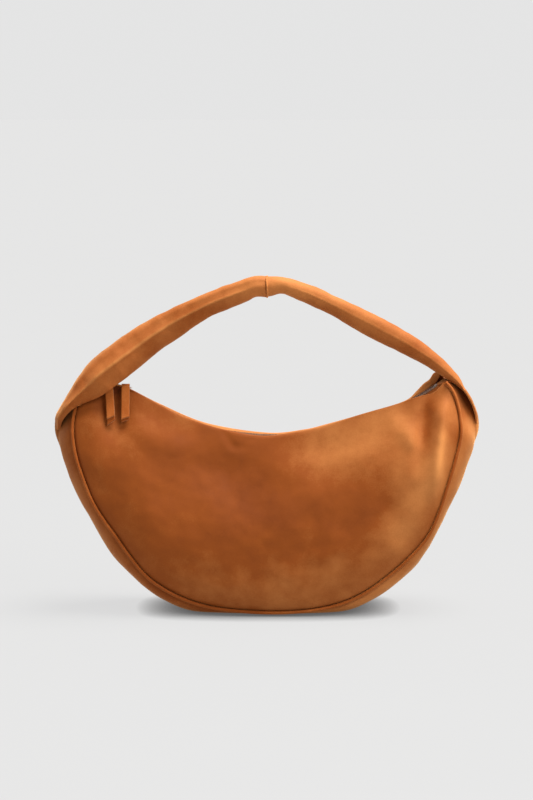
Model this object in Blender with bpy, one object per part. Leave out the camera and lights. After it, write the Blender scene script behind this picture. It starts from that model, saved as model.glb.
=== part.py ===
"""Hobo bag: two crescent panels, a gusset strip that runs on into the shoulder strap,
piped seams, a lining, and a curved two-way zip with two leather pulls.

Metres, +Z up. X is the width, the front faces -Y, and the origin is on the floor
under the middle of the bag.
"""
import math

import bmesh
import bpy
from mathutils import Matrix, Vector

GAP = 0.0004                # clearance kept between neighbouring solids

# Bag body
LEATHER = 0.0025            # leather thickness
LINING = 0.0008             # lining cloth thickness
BASE_HALF_DEPTH = 0.050     # half the gusset width on the floor
PANEL_BULGE = 0.020         # how far the filled panels swell past their edges
PANEL_INSET = 0.0029        # panel edge inside the seam line
LINING_INSET = 0.0065
LINING_GAP = 0.0012         # between leather and lining
LINING_DROP = 0.0026        # lining ends below the zip tape
PIPING_R = 0.0020
PIPING_OFFSET = 0.0024      # piping centre outside the seam line

# Strip of leather that is gusset below and strap above: x and z of the seam line,
# then of the strap's middle, with its outward bulge and its half depth
STRIP = (
    (0.000, 0.0050, 0.0060, 0.050),
    (0.058, 0.0095, 0.0110, 0.050),
    (0.107, 0.0260, 0.0140, 0.049),
    (0.156, 0.0650, 0.0150, 0.047),
    (0.189, 0.1145, 0.0170, 0.044),
    (0.207, 0.1640, 0.0190, 0.039),
    (0.2165, 0.2050, 0.0230, 0.031),
    (0.2140, 0.2360, 0.0190, 0.021),
    (0.2030, 0.2590, 0.0140, 0.0165),
    (0.1840, 0.2770, 0.0140, 0.0135),
    (0.1530, 0.3000, 0.0152, 0.0125),
    (0.1150, 0.3225, 0.0152, 0.0125),
    (0.0720, 0.3450, 0.0125, 0.0120),
    (0.0300, 0.3625, 0.0108, 0.0115),
    (0.0000, 0.3685, 0.0104, 0.0115),
)
CORNER_KNOT = 8             # strip point where the panels end
TUBE_KNOT = 9               # strip point where the fold has closed to a tube

# Strap hinge: the leather bends here, on a line along X
HINGE_Z = 0.275
HINGE_R = 0.0142
CUT_HALF_WIDTH = 0.3
CORE_SCALE = 0.5            # filler cord inside the strap, as a share of its section
CORE_END = 10.6             # strip position where the filler stops

# Mouth and zip. Their line is an arc in the XZ plane; left of ARC_FROM it rounds a small
# crown and runs down to the left corner. Places on it are lengths from the arc's bottom.
ARC_X, ARC_Z, ARC_R = 0.010, 0.509, 0.3125
ARC_FROM = -0.1860
CROWN_LENGTH, CROWN_R = 0.0090, 0.0123
MOUTH_ENDS = {-1: -0.2170, 1: 0.1985}
MOUTH_HALF_DEPTH = 0.0128   # outer face of the panel's top edge
LIP = 0.0022                # panel edge above the zip
TEETH_W, TEETH_H = 0.0030, 0.0022
TEETH_MIDDLE = 0.0006       # from the middle plane to a row of teeth
TEETH_ENDS = {-1: -0.2098, 1: 0.1910}
TAPE_W, TAPE_H = 0.0055, 0.0008
STOP_GAP, STOP_LENGTH = 0.0010, 0.0045

# Sliders and pulls
SLIDER_PLACES = {"left": -0.2022, "right": -0.1798}
SLIDER_L, SLIDER_W, SLIDER_PLATE = 0.0104, 0.0086, 0.0010
SLIDER_GAP = 0.0004         # plates above and below the teeth
LUG_HEIGHT = 0.0068         # hole of the lug above the zip
LUG_R, LUG_HOLE_R, LUG_W = 0.0024, 0.0015, 0.0012
WIRE_R = 0.0007
LINK_LENGTH = 0.0178
LINK_HALF_WIDTH = 0.0056
LINK_RISE = math.radians(11)    # link rises over the panel's edge at rest
TAB_W, TAB_T, TAB_L = 0.0090, 0.0028, 0.0360
TAB_LOOP_R, TAB_HOLE_R = 0.0026, 0.0012
TAB_LEAN = math.radians(23)     # tab rests along the sloping front panel

# Mesh resolution
PANEL_STEPS, PANEL_ROWS = 26, 7
LINING_STEPS, LINING_ROWS = 20, 6
RING_POINTS = 7             # points on each half of the strip's section
STRIP_STEPS = 3             # sections between two strip points
CROWN_STEPS, ARC_STEPS = 6, 34

COLOURS = {
    "nubuck": ((0.33, 0.10, 0.028, 1), 0.85, 0.0),
    "nubuck_light": ((0.45, 0.16, 0.05, 1), 0.85, 0.0),
    "lining": ((0.22, 0.15, 0.10, 1), 0.9, 0.0),
    "tape": ((0.18, 0.07, 0.03, 1), 0.8, 0.0),
    "filler": ((0.75, 0.72, 0.65, 1), 0.9, 0.0),
    "metal": ((0.75, 0.74, 0.72, 1), 0.3, 1.0),
}


def clear_scene():
    for obj in list(bpy.data.objects):
        bpy.data.objects.remove(obj, do_unlink=True)


def material(name, kind):
    colour, roughness, metallic = COLOURS[kind]
    mat = bpy.data.materials.new(name)
    mat.use_nodes = True
    shader = mat.node_tree.nodes["Principled BSDF"]
    shader.inputs["Base Color"].default_value = colour
    shader.inputs["Roughness"].default_value = roughness
    shader.inputs["Metallic"].default_value = metallic
    return mat


def add_object(name, bm, kind, smooth=True):
    bmesh.ops.recalc_face_normals(bm, faces=bm.faces)
    mesh = bpy.data.meshes.new(name)
    bm.to_mesh(mesh)
    bm.free()
    obj = bpy.data.objects.new(name, mesh)
    bpy.context.collection.objects.link(obj)
    if kind:
        mesh.materials.append(material(name + "_material", kind))
    if smooth:
        mesh.shade_smooth()
        mesh.set_sharp_from_angle(angle=math.radians(40))
    return obj


def place_origin(obj, point, parent=None):
    """Puts the object's origin on its joint, keeping the mesh where it is."""
    obj.data.transform(Matrix.Translation(-point))
    obj.location = point
    if parent:
        obj.parent = parent
        obj.location = point - parent.location


def boolean(obj, cutter, operation):
    cutter.hide_render = True
    cutter.display_type = "WIRE"
    mod = obj.modifiers.new(cutter.name, "BOOLEAN")
    mod.operation = operation
    mod.solver = "EXACT"
    mod.object = cutter


def smooth_step(t):
    t = min(max(t, 0.0), 1.0)
    return t * t * (3 - 2 * t)


def spline(points, t):
    """Catmull-Rom curve through the points; t counts points from 0."""
    last = len(points) - 1
    i = min(int(t), last - 1)
    f = t - i
    p = [points[min(max(j, 0), last)] for j in (i - 1, i, i + 1, i + 2)]
    if i == 0:
        p[0] = tuple(2 * b - c for b, c in zip(p[1], p[2]))
    if i == last - 1:
        p[3] = tuple(2 * b - a for a, b in zip(p[1], p[2]))
    return [
        0.5 * (2 * b + (c - a) * f + (2 * a - 5 * b + 4 * c - d) * f * f
               + (3 * b - a - 3 * c + d) * f ** 3)
        for a, b, c, d in zip(*p)
    ]


def strip_at(t):
    """Point, outward normal, bulge and half depth of the strip at position t."""
    x, z, bulge, depth = spline(STRIP, t)
    step = 0.02
    x0, z0 = spline(STRIP, max(t - step, 0.0))[:2]
    x1, z1 = spline(STRIP, min(t + step, len(STRIP) - 1.0))[:2]
    along = Vector((x1 - x0, 0, z1 - z0)).normalized()
    if t < step:
        along = Vector((1, 0, 0))
    if t > len(STRIP) - 1 - step:
        along = Vector((-1, 0, 0))
    return Vector((x, 0, z)), Vector((along.z, 0, -along.x)), bulge, depth


def mouth_heading(s):
    """Slope angle of the zip's line at length s."""
    turned = min(max(ARC_FROM - s, 0.0), CROWN_LENGTH) / CROWN_R
    return max(s, ARC_FROM) / ARC_R + turned


def mouth_point(s, height=0.0):
    """Point on the zip's line at length s, height measured upwards across it."""
    a = max(s, ARC_FROM) / ARC_R
    x, z = ARC_X + ARC_R * math.sin(a), ARC_Z - ARC_R * math.cos(a)
    heading = mouth_heading(s)
    if s < ARC_FROM:
        x -= CROWN_R * (math.sin(heading) - math.sin(a))
        z += CROWN_R * (math.cos(heading) - math.cos(a))
        straight = max(ARC_FROM - CROWN_LENGTH - s, 0.0)
        x -= straight * math.cos(heading)
        z -= straight * math.sin(heading)
    return Vector((x - height * math.sin(heading), 0, z + height * math.cos(heading)))


def loft(rings, closed_ring=True):
    """One closed body through rings of equal length, with flat-filled ends."""
    bm = bmesh.new()
    rows = [[bm.verts.new(p) for p in ring] for ring in rings]
    n = len(rows[0])
    for a, b in zip(rows, rows[1:]):
        for i in range(n if closed_ring else n - 1):
            j = (i + 1) % n
            bm.faces.new((a[i], a[j], b[j], b[i]))
    for row in (rows[0], rows[-1]):
        half = n // 2
        for i in range(half - 1):
            bm.faces.new((row[i], row[i + 1], row[n - 2 - i], row[n - 1 - i]))
    bmesh.ops.triangulate(bm, faces=bm.faces)
    return bm


def sheet_solid(points, shift):
    """A grid of points and the same grid moved by shift(i, j), closed into one body."""
    bm = bmesh.new()
    rows, cols = len(points), len(points[0])
    front = [[bm.verts.new(p) for p in row] for row in points]
    back = [[bm.verts.new(points[i][j] + shift(i, j)) for j in range(cols)]
            for i in range(rows)]
    for i in range(rows - 1):
        for j in range(cols - 1):
            bm.faces.new((front[i][j], front[i][j + 1], front[i + 1][j + 1], front[i + 1][j]))
            bm.faces.new((back[i][j], back[i + 1][j], back[i + 1][j + 1], back[i][j + 1]))
    border = ([(i, 0) for i in range(rows)] + [(rows - 1, j) for j in range(1, cols)]
              + [(i, cols - 1) for i in range(rows - 2, -1, -1)]
              + [(0, j) for j in range(cols - 2, 0, -1)])
    for (a, b), (c, d) in zip(border, border[1:] + border[:1]):
        bm.faces.new((front[a][b], front[c][d], back[c][d], back[a][b]))
    bmesh.ops.triangulate(bm, faces=bm.faces)
    return bm


def panel_point(u, v, inset, lip):
    """Point of the front panel's outer face: u along its width, v from seam to mouth."""
    side = 1 if u >= 0 else -1
    c, n, _, depth = strip_at(abs(u) * CORNER_KNOT)
    low = c - n * inset
    middle = (MOUTH_ENDS[1] + MOUTH_ENDS[-1]) / 2
    end = MOUTH_ENDS[side] - side * inset * 1.5
    low.x *= side
    point = low.lerp(mouth_point(middle + abs(u) * (end - middle), lip), v)
    edge = depth + (MOUTH_HALF_DEPTH - depth) * v
    swell = PANEL_BULGE * (1 - abs(u) ** 1.3) * math.sin(math.pi * v) * (1 - 0.4 * v)
    return Vector((point.x, -edge - swell, point.z))


def crescent(name, facing, inset, offset, thickness, lip, steps, rows, kind):
    """A crescent sheet; facing -1 is the front one. offset moves it inwards."""
    grid = []
    for i in range(steps + 1):
        u = -1 + 2 * i / steps
        row = []
        for j in range(rows + 1):
            p = panel_point(u, j / rows, inset, lip)
            row.append(Vector((p.x, -facing * (p.y + offset), p.z)))
        grid.append(row)
    inwards = Vector((0, -facing * thickness, 0))
    return add_object(name, sheet_solid(grid, lambda i, j: inwards), kind)


def panel(name, facing):
    return crescent(name, facing, PANEL_INSET, 0.0, LEATHER, LIP,
                    PANEL_STEPS, PANEL_ROWS, "nubuck")


def panel_lining(name, facing):
    return crescent(name, facing, LINING_INSET, LEATHER + LINING_GAP, LINING, -LINING_DROP,
                    LINING_STEPS, LINING_ROWS, "lining")


def strip_ring(t, side, wall):
    """Section of the strip: an open U below, closing to a tube where the strap starts."""
    c, n, bulge, depth = strip_at(t)
    closed = smooth_step((t - CORNER_KNOT) / (TUBE_KNOT - CORNER_KNOT))
    ring = []
    angles = [math.pi * (i / (RING_POINTS - 1) - 0.5) for i in range(RING_POINTS)]
    for a in angles:
        p = c + n * bulge * math.cos(a) + Vector((0, depth * math.sin(a), 0))
        ring.append(p)
    for a in reversed(angles):
        inside = (bulge - 2 * bulge * closed) * math.cos(a) - wall
        p = c + n * inside + Vector((0, (depth - wall * 0.5 * (1 - closed)) * math.sin(a), 0))
        ring.append(p)
    for p in ring:
        p.x = max(p.x, GAP)
        p.z = max(p.z, 0.0)
        p.x *= side
    return ring


def strip_positions(first, last):
    count = int(round((last - first) * STRIP_STEPS))
    return [first + (last - first) * i / count for i in range(count + 1)]


def above_hinge(name, radius):
    """Everything above the strap's bending line, with a round underside along it."""
    wide, high, sides = 0.06, 0.2, 14
    outline = [(-wide, HINGE_Z + high), (-wide, HINGE_Z)]
    for i in range(sides + 1):
        a = math.pi + math.pi * i / sides
        outline.append((radius * math.cos(a), HINGE_Z + radius * math.sin(a)))
    outline += [(wide, HINGE_Z), (wide, HINGE_Z + high)]
    bm = bmesh.new()
    face = bm.faces.new([bm.verts.new((-CUT_HALF_WIDTH, y, z)) for y, z in outline])
    moved = bmesh.ops.extrude_face_region(bm, geom=[face])["geom"]
    bmesh.ops.translate(bm, vec=(2 * CUT_HALF_WIDTH, 0, 0),
                        verts=[v for v in moved if isinstance(v, bmesh.types.BMVert)])
    return add_object(name, bm, None, smooth=False)


def above_gusset(name):
    """Everything above the flat end of the gusset, which clears the strap's round end."""
    low, high = HINGE_Z - HINGE_R - GAP, HINGE_Z + 0.05
    bm = box((2 * CUT_HALF_WIDTH, 0.1, high - low), (0, 0, (high + low) / 2))
    return add_object(name, bm, None, smooth=False)


def tube_along(points, normals, radius, sides):
    """Round tube through points; normals lie across it in the XZ plane."""
    rings = []
    for p, n in zip(points, normals):
        ring = []
        for i in range(sides):
            a = 2 * math.pi * i / sides
            ring.append(p + n * radius * math.cos(a) + Vector((0, radius * math.sin(a), 0)))
        rings.append(ring)
    return loft(rings)


def piping(name, facing):
    steps = 22
    points, normals = [], []
    for i in range(-steps, steps + 1):
        side = 1 if i >= 0 else -1
        t = abs(i) / steps * (CORNER_KNOT - 0.45)
        c, n, _, depth = strip_at(t)
        p = c + n * PIPING_OFFSET
        points.append(Vector((side * p.x, facing * (depth + PIPING_R + GAP), max(p.z, PIPING_R))))
        normals.append(Vector((side * n.x, 0, n.z)))
    return add_object(name, tube_along(points, normals, PIPING_R, 6), "nubuck_light")


def gusset_lining():
    """Inner face of the gusset, one strip from corner to corner."""
    grid = []
    steps = 26
    first = -(CORNER_KNOT - 0.6)
    across = 7
    for i in range(steps + 1):
        t = first - 2 * first * i / steps
        side = 1 if t >= 0 else -1
        c, n, bulge, depth = strip_at(abs(t))
        row = []
        for j in range(across):
            a = math.pi * (j / (across - 1) - 0.5)
            half = depth - LEATHER - 2 * LINING
            inside = min(bulge - 0.002, 0.5 * bulge) * math.cos(a) - LEATHER - 0.0012
            p = c + n * inside + Vector((0, half * math.sin(a), 0))
            row.append(Vector((side * p.x, p.y, max(p.z, LEATHER + 0.0012))))
        grid.append(row)

    def shift(i, j):
        t = first - 2 * first * i / steps
        c, n, _, _ = strip_at(abs(t))
        side = 1 if t >= 0 else -1
        return Vector((-side * n.x * LINING, 0, -n.z * LINING))

    return add_object("lining_gusset", sheet_solid(grid, shift), "lining")


def zip_places(start, end):
    """Places along the zip, close together on the small crown."""
    crown = [ARC_FROM - CROWN_LENGTH * i / CROWN_STEPS for i in range(CROWN_STEPS, 0, -1)]
    arc = [ARC_FROM + (end - ARC_FROM) * i / ARC_STEPS for i in range(ARC_STEPS + 1)]
    return [start] + crown + arc


def zip_bar(name, y_from, y_to, low, high, places, kind):
    """Bar of rectangular section along the zip's line."""
    rings = []
    for s in places:
        rings.append([mouth_point(s, h) + Vector((0, y, 0))
                      for y, h in ((y_from, low), (y_to, low), (y_to, high), (y_from, high))])
    return add_object(name, loft(rings), kind, smooth=False)


def zip_stop(name, side):
    start = TEETH_ENDS[side] + side * STOP_GAP
    return zip_bar(name, -0.0038, 0.0038, -0.0017, 0.0019,
                   (start, start + side * STOP_LENGTH), "metal")


def box(size, centre):
    bm = bmesh.new()
    bmesh.ops.create_cube(bm, size=1.0)
    bmesh.ops.scale(bm, vec=size, verts=bm.verts)
    bmesh.ops.translate(bm, vec=centre, verts=bm.verts)
    return bm


def cylinder(radius, length, centre, sides, along_x=True):
    bm = bmesh.new()
    bmesh.ops.create_cone(bm, cap_ends=True, segments=sides, radius1=radius,
                          radius2=radius, depth=length)
    if along_x:
        bmesh.ops.rotate(bm, matrix=Matrix.Rotation(math.pi / 2, 3, "Y"), verts=bm.verts)
    bmesh.ops.translate(bm, vec=centre, verts=bm.verts)
    return bm


def zip_frame(s):
    """Frame on the zip: X along it, Y to the back, Z across it and upwards."""
    return Matrix.Translation(mouth_point(s)) @ Matrix.Rotation(-mouth_heading(s), 4, "Y")


def slider(name, place):
    """Two plates and a centre post, with a lug for the pull."""
    above = TEETH_H / 2 + SLIDER_GAP
    frame = zip_frame(place)
    body = add_object(name, box((SLIDER_L, SLIDER_W, SLIDER_PLATE),
                                (0, 0, above + SLIDER_PLATE / 2)), "metal", smooth=False)
    post_height = 2 * above + 1.6 * SLIDER_PLATE
    lug_base = above + 0.5 * SLIDER_PLATE
    parts = {
        "plate": box((SLIDER_L, SLIDER_W, SLIDER_PLATE), (0, 0, -above - SLIDER_PLATE / 2)),
        "post": box((0.0030, 2 * TEETH_MIDDLE - 0.0006, post_height), (0.0, 0, 0)),
        "lug": box((LUG_W, 2 * LUG_R, LUG_HEIGHT - lug_base), (0, 0, (LUG_HEIGHT + lug_base) / 2)),
        "eye": cylinder(LUG_R, LUG_W, (0, 0, LUG_HEIGHT), 16),
    }
    hole = cylinder(LUG_HOLE_R, LUG_W * 3, (0, 0, LUG_HEIGHT), 12)
    for part, bm in parts.items():
        boolean(body, add_object(name + "_" + part, bm, None, smooth=False), "UNION")
    boolean(body, add_object(name + "_hole", hole, None, smooth=False), "DIFFERENCE")
    for obj in [m.object for m in body.modifiers]:
        obj.data.transform(frame)
    body.data.transform(frame)
    return body


def pull_link(name, lug):
    """Wire loop through the lug at point lug; its bars are level at rest."""
    hinge = lug
    away = Vector((0, -math.cos(LINK_RISE), math.sin(LINK_RISE)))
    corners = [hinge + Vector((LINK_HALF_WIDTH, 0, 0)), hinge - Vector((LINK_HALF_WIDTH, 0, 0))]
    corners += [corners[1] + away * LINK_LENGTH, corners[0] + away * LINK_LENGTH]
    up = Vector((0, -math.sin(LINK_RISE), -math.cos(LINK_RISE)))
    bm = bmesh.new()
    rings, sides = [], 8
    for k, p in enumerate(corners):
        out = (p - corners[k - 1]).normalized() + (p - corners[(k + 1) % 4]).normalized()
        rings.append([bm.verts.new(p + out * WIRE_R * math.cos(2 * math.pi * i / sides)
                                   + up * WIRE_R * math.sin(2 * math.pi * i / sides))
                      for i in range(sides)])
    for k in range(4):
        a, b = rings[k], rings[(k + 1) % 4]
        for i in range(sides):
            j = (i + 1) % sides
            bm.faces.new((a[i], a[j], b[j], b[i]))
    bmesh.ops.triangulate(bm, faces=bm.faces)
    return add_object(name, bm, "metal"), hinge + away * LINK_LENGTH


def pull_tab(name, bar):
    """Leather folded over the link's outer bar, hanging in front of the panel."""
    body = add_object(name, box((TAB_W, TAB_T, TAB_L), (0, 0, -TAB_L / 2 - TAB_LOOP_R * 0.4)),
                      "nubuck", smooth=False)
    loop = add_object(name + "_loop", cylinder(TAB_LOOP_R, TAB_W, (0, 0, 0), 16), None)
    hole = add_object(name + "_hole", cylinder(TAB_HOLE_R, TAB_W * 2, (0, 0, 0), 12), None)
    boolean(body, loop, "UNION")
    boolean(body, hole, "DIFFERENCE")
    hang = Matrix.Translation(bar) @ Matrix.Rotation(-TAB_LEAN, 4, "X")
    for obj in (body, loop, hole):
        obj.data.transform(hang)
    return body


def hinge_pivot(name, point):
    empty = bpy.data.objects.new(name, None)
    empty.location = point
    bpy.context.collection.objects.link(empty)
    return empty


def core_ring(t, side, grow):
    c, n, bulge, depth = strip_at(t)
    sides = 8
    ring = []
    for i in range(sides):
        a = 2 * math.pi * i / sides
        p = c + n * (bulge * CORE_SCALE + grow) * math.cos(a)
        p += Vector((0, (depth * CORE_SCALE + grow) * math.sin(a), 0))
        ring.append(Vector((side * p.x, p.y, p.z)))
    return ring


def strap_core(name, grow, kind):
    last = len(STRIP) - 1
    half = [CORE_END - grow * 10 + (last - CORE_END) * i / 9 for i in range(10)]
    rings = [core_ring(t, -1, grow) for t in half[:-1]]
    rings += [core_ring(t, 1, grow) for t in reversed(half)]
    return add_object(name, loft(rings), kind)


clear_scene()

# Panels and lining; the back ones swing on a line near the floor when the mouth opens
panel("front_panel", -1)
panel_lining("lining_front", -1)
mouth_hinge = hinge_pivot("mouth_hinge", Vector((0, BASE_HALF_DEPTH, 0.010)))
back_pieces = [panel("back_panel", 1), panel_lining("lining_back", 1)]
piping("piping_front", -1)
piping("piping_back", 1)
gusset_lining()

# Gusset and strap: one strip each side, cut where the strap bends
strap_pivot = Vector((0, 0, HINGE_Z))
hinge_pivot("strap_hinge", strap_pivot)
upper_cut = above_hinge("strap_cutter", HINGE_R)
lower_cut = above_gusset("gusset_cutter")
for side_name, side in (("left", -1), ("right", 1)):
    low_rings = [strip_ring(t, side, LEATHER) for t in strip_positions(0, TUBE_KNOT + 1)]
    gusset = add_object("gusset_" + side_name, loft(low_rings), "nubuck")
    boolean(gusset, lower_cut, "DIFFERENCE")
    high_rings = [strip_ring(t, side, LEATHER * 0.2)
                  for t in strip_positions(TUBE_KNOT - 1 / STRIP_STEPS, len(STRIP) - 1)]
    strap = add_object("strap_" + side_name, loft(high_rings), "nubuck")
    place_origin(strap, strap_pivot)
    boolean(strap, upper_cut, "INTERSECT")

strap_core("strap_core", 0.0, "filler")
core_cut = strap_core("core_cutter", GAP, None)
for side_name in ("left", "right"):
    boolean(bpy.data.objects["strap_" + side_name], core_cut, "DIFFERENCE")

# Zip
teeth_to = TEETH_MIDDLE + TEETH_W
tape_from = teeth_to + GAP
places = zip_places(TEETH_ENDS[-1], TEETH_ENDS[1])
for row, facing in (("front", -1), ("back", 1)):
    near, far = facing * TEETH_MIDDLE, facing * teeth_to
    teeth = zip_bar("zip_teeth_" + row, near, far, -TEETH_H / 2, TEETH_H / 2,
                    places, "metal")
    near, far = facing * tape_from, facing * (tape_from + TAPE_W)
    tape = zip_bar("zip_tape_" + row, near, far, -TAPE_H / 2, TAPE_H / 2,
                   places, "tape")
    if row == "back":
        back_pieces += [teeth, tape]
for piece in back_pieces:
    place_origin(piece, mouth_hinge.location.copy())
zip_stop("zip_stop_left", -1)
zip_stop("zip_stop_right", 1)

for side_name, place in SLIDER_PLACES.items():
    body = slider("slider_" + side_name, place)
    lug = mouth_point(place, LUG_HEIGHT)
    link, bar = pull_link("pull_link_" + side_name, lug)
    tab = pull_tab("pull_tab_" + side_name, bar)
    place_origin(body, Vector((ARC_X, 0, ARC_Z)))
    place_origin(link, lug)
    place_origin(tab, bar)
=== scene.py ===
"""Looks of the hobo bag: leather skins, piping, zip, pulls and lining around the CAD frame.

Metres, +Z up, the front faces -Y. Outlines are (x, z) points in the frame of the CAD model.
"""
import math

import bmesh
import bpy
import numpy as np
from mathutils import Matrix, Vector, noise


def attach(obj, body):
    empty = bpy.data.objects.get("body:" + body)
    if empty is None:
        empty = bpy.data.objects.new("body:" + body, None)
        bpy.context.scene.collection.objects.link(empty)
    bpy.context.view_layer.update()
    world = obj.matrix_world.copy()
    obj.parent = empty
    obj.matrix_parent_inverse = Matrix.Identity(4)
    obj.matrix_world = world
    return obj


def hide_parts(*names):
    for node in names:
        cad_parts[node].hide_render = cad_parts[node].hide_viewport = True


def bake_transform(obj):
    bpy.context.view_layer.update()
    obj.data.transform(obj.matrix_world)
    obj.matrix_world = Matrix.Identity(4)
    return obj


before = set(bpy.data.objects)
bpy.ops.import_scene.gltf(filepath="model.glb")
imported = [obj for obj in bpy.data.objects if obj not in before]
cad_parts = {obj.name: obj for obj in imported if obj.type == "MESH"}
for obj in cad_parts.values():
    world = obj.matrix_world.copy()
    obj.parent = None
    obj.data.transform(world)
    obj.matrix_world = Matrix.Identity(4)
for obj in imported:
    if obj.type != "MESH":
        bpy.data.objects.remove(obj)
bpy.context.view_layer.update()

# Seam between front panel and gusset, from the left corner under the bag to the right one
SEAM_LEFT = (
    (-0.1985, 0.2590), (-0.2085, 0.2465), (-0.2150, 0.2290), (-0.2172, 0.2070), (-0.2135, 0.1810),
    (-0.2050, 0.1550), (-0.1955, 0.1310), (-0.1840, 0.1115), (-0.1690, 0.0905), (-0.1525, 0.0670),
    (-0.1330, 0.0440), (-0.1080, 0.0270), (-0.0800, 0.0150), (-0.0480, 0.0080)
)
SEAM_RIGHT = (
    (0.0000, 0.0044), (0.0420, 0.0060), (0.0760, 0.0120), (0.1050, 0.0235), (0.1310, 0.0411),
    (0.1580, 0.0640), (0.1800, 0.0890), (0.1930, 0.1170), (0.2025, 0.1460), (0.2110, 0.1740),
    (0.2175, 0.2010), (0.2172, 0.2220), (0.2135, 0.2400), (0.2080, 0.2530), (0.2010, 0.2612)
)
# Seam's distance from the middle plane, by height
DEPTH_HEIGHTS = (0.004, 0.026, 0.065, 0.1145, 0.164, 0.205, 0.236, 0.262)
DEPTHS = (0.050, 0.049, 0.047, 0.044, 0.039, 0.031, 0.0215, 0.0160)

# Outer edge of the gusset, from the middle of the floor up each side
OUTLINE_LEFT = (
    (0.000, 0.000), (-0.045, 0.000), (-0.086, 0.0006), (-0.1161, 0.0121), (-0.1390, 0.0270),
    (-0.1615, 0.0471), (-0.1807, 0.0704), (-0.1942, 0.0936), (-0.2064, 0.1168), (-0.2175, 0.1398),
    (-0.2263, 0.1629), (-0.2340, 0.1859), (-0.2396, 0.2042), (-0.2375, 0.2220), (-0.2290, 0.2390),
    (-0.2190, 0.2500)
)
OUTLINE_RIGHT = (
    (0.000, 0.000), (0.045, 0.000), (0.090, 0.0006), (0.1195, 0.0121), (0.1420, 0.0260), (0.1661, 0.0471),
    (0.1830, 0.0704), (0.1964, 0.0936), (0.2064, 0.1168), (0.2187, 0.1398), (0.2263, 0.1629),
    (0.2340, 0.1859), (0.2396, 0.2040), (0.2390, 0.2200), (0.2320, 0.2370), (0.2195, 0.2565)
)

# Top edge of the panels
CREST_FRONT = (
    (-0.1975, 0.2565), (-0.1850, 0.2578), (-0.1700, 0.2548), (-0.1570, 0.2528), (-0.1410, 0.2451),
    (-0.1208, 0.2338), (-0.0984, 0.2224), (-0.0681, 0.2111), (-0.0366, 0.2031), (0.0000, 0.1985),
    (0.0422, 0.2042), (0.0692, 0.2111), (0.1051, 0.2224), (0.1377, 0.2318), (0.1509, 0.2358),
    (0.1606, 0.2396), (0.1735, 0.2438), (0.1848, 0.2464), (0.1915, 0.2506), (0.1985, 0.2590)
)
CREST_BACK = (
    (-0.1975, 0.2560), (-0.1850, 0.2565), (-0.1700, 0.2540), (-0.1560, 0.2490), (-0.1208, 0.2310),
    (-0.0681, 0.2090), (0.0000, 0.1980), (0.0422, 0.2015), (0.0692, 0.2080), (0.1051, 0.2182),
    (0.1400, 0.2284), (0.1600, 0.2360), (0.1701, 0.2456), (0.1780, 0.2540), (0.1848, 0.2592),
    (0.1895, 0.2662), (0.1990, 0.2700)
)

# Strap edges, from the fold's tip at the bag's corner to the middle of the strap
STRAP_OUTER_LEFT = (
    (-0.2396, 0.2040), (-0.2381, 0.2202), (-0.2325, 0.2317), (-0.2265, 0.2431), (-0.2196, 0.2545),
    (-0.2127, 0.2658), (-0.2040, 0.2775), (-0.1921, 0.2886), (-0.1763, 0.2999), (-0.1604, 0.3112),
    (-0.1434, 0.3226), (-0.1242, 0.3339), (-0.1017, 0.3452), (-0.0758, 0.3564), (-0.0466, 0.3677),
    (-0.0150, 0.3775), (0.0000, 0.3783)
)
STRAP_INNER_LEFT = (
    (-0.2345, 0.2060), (-0.2275, 0.2205), (-0.2188, 0.2308), (-0.2058, 0.2380), (-0.1950, 0.2422),
    (-0.1842, 0.2475), (-0.1745, 0.2540), (-0.1633, 0.2615), (-0.1540, 0.2690), (-0.1415, 0.2777),
    (-0.1268, 0.2886), (-0.1121, 0.2999), (-0.0962, 0.3112), (-0.0793, 0.3226), (-0.0601, 0.3339),
    (-0.0400, 0.3424), (-0.0210, 0.3500), (-0.0115, 0.3545), (0.0000, 0.3547)
)
STRAP_OUTER_RIGHT = (
    (0.2400, 0.2130), (0.2392, 0.2202), (0.2357, 0.2317), (0.2299, 0.2431), (0.2230, 0.2545),
    (0.2161, 0.2658), (0.2058, 0.2772), (0.1944, 0.2886), (0.1808, 0.2999), (0.1649, 0.3112),
    (0.1457, 0.3226), (0.1254, 0.3339), (0.1017, 0.3452), (0.0769, 0.3564), (0.0522, 0.3677),
    (0.0200, 0.3770), (0.0000, 0.3783)
)
STRAP_INNER_RIGHT = (
    (0.2385, 0.2120), (0.2350, 0.2230), (0.2295, 0.2370), (0.2235, 0.2470), (0.2150, 0.2550),
    (0.2050, 0.2618), (0.1923, 0.2700), (0.1810, 0.2768), (0.1595, 0.2880), (0.1357, 0.2999),
    (0.1131, 0.3113), (0.0928, 0.3226), (0.0748, 0.3339), (0.0511, 0.3452), (0.0275, 0.3562),
    (0.0160, 0.3592), (0.0070, 0.3565), (0.0000, 0.3547)
)

# Zip line, as in the CAD model: an arc, a small crown and a straight left end. Places along
# it are lengths from the arc's lowest point
ARC_X, ARC_Z, ARC_R = 0.010, 0.509, 0.3125
ARC_FROM = -0.1860
CROWN_LENGTH, CROWN_R = 0.0090, 0.0123
TEETH_FROM, TEETH_TO = -0.2098, 0.1910
SLIDER_PLACES = {"left": -0.2022, "right": -0.1798}
LUG_HEIGHT = 0.0068
LINK_LENGTH = 0.0178
LINK_RISE = math.radians(11)
LINK_WAY = Vector((0, -math.cos(LINK_RISE), math.sin(LINK_RISE)))    # from the lug to the tab

# Thicknesses
LEATHER, STRAP_LEATHER, PATCH_LEATHER, TAB_LEATHER = 0.0022, 0.0016, 0.0014, 0.0013
LINING_CLOTH, TAPE_CLOTH = 0.0006, 0.0008

# The opening mouth: where pieces blend from the bag into the back wall, how far from the
# middle they follow it fully, and over what width that dies out
OPEN_WITHIN, OPEN_FADE = 0.03, 0.155

SIDES = {"left": -1, "right": 1}
FACINGS = {"front": -1, "back": 1}
SPLINE_STEPS = 24


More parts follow.
